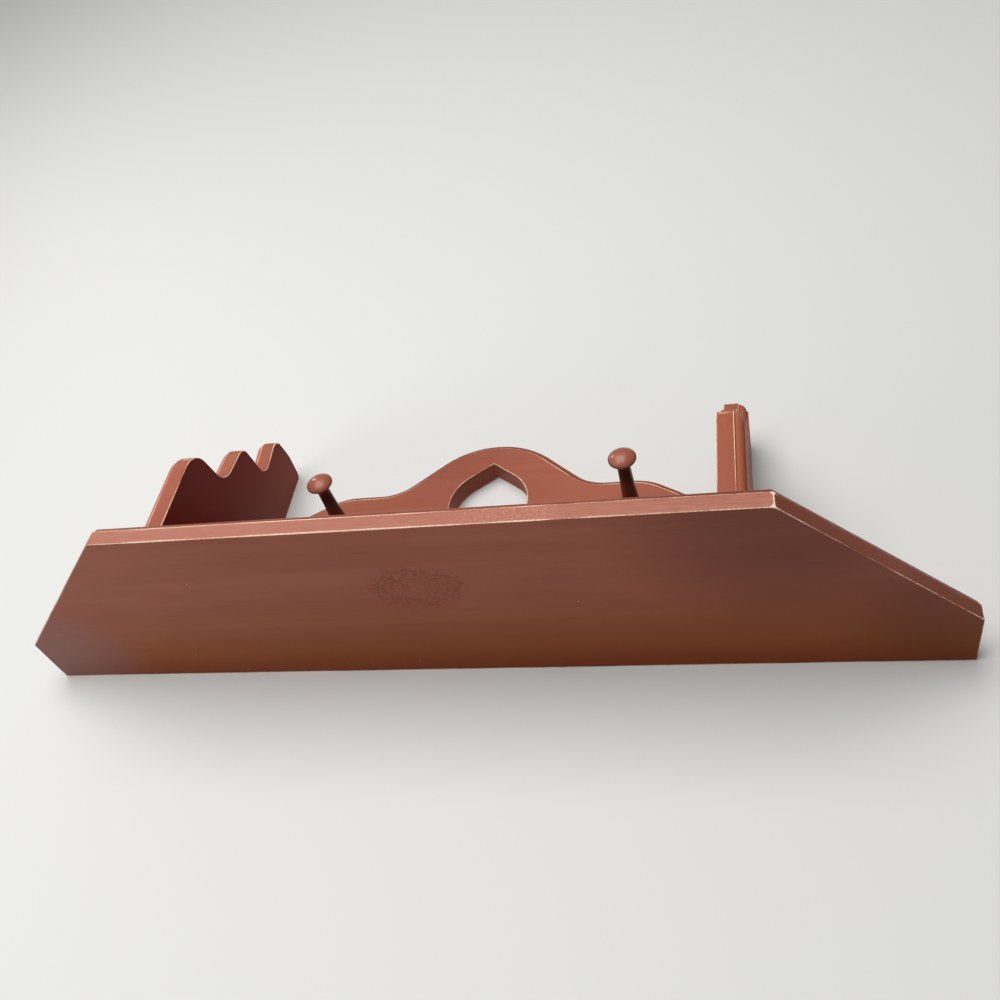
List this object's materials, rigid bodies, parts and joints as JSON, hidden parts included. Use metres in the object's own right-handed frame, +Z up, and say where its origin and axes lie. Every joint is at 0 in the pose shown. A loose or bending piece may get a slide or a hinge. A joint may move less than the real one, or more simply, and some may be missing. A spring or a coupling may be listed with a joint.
{
  "type": "wall shelf with pegs",
  "caption": "Wall-hung painted wood shelf with clipped corners, stepped side brackets, a scalloped backboard with a heart cut-out, and turned pegs.",
  "frame": {"origin": "on the wall plane, midway between the seats of the two keyhole hangers", "axes": "+X along the shelf to the viewer's right, +Y into the wall, +Z up; the shelf is in its hanging position"},
  "size_m": [0.7112, 0.1715, 0.2188],
  "materials": {
    "painted_wood": "satin red paint over wood",
    "dowel_wood": "bare",
    "hanger_steel": "zinc plated",
    "screw_steel": "zinc plated"
  },
  "bodies": {
    "root": {"shelf_board": "painted_wood", "backboard": "painted_wood", "bracket_left": "painted_wood", "bracket_right": "painted_wood", "peg_left": "painted_wood", "peg_right": "painted_wood", "dowels_shelf_backboard": "dowel_wood", "dowels_shelf_bracket_left": "dowel_wood", "dowels_shelf_bracket_right": "dowel_wood", "dowels_backboard_bracket_left": "dowel_wood", "dowels_backboard_bracket_right": "dowel_wood", "hanger_plate_left": "hanger_steel", "hanger_plate_right": "hanger_steel", "hanger_screws_left": "screw_steel", "hanger_screws_right": "screw_steel"}
  },
  "joints": []
}
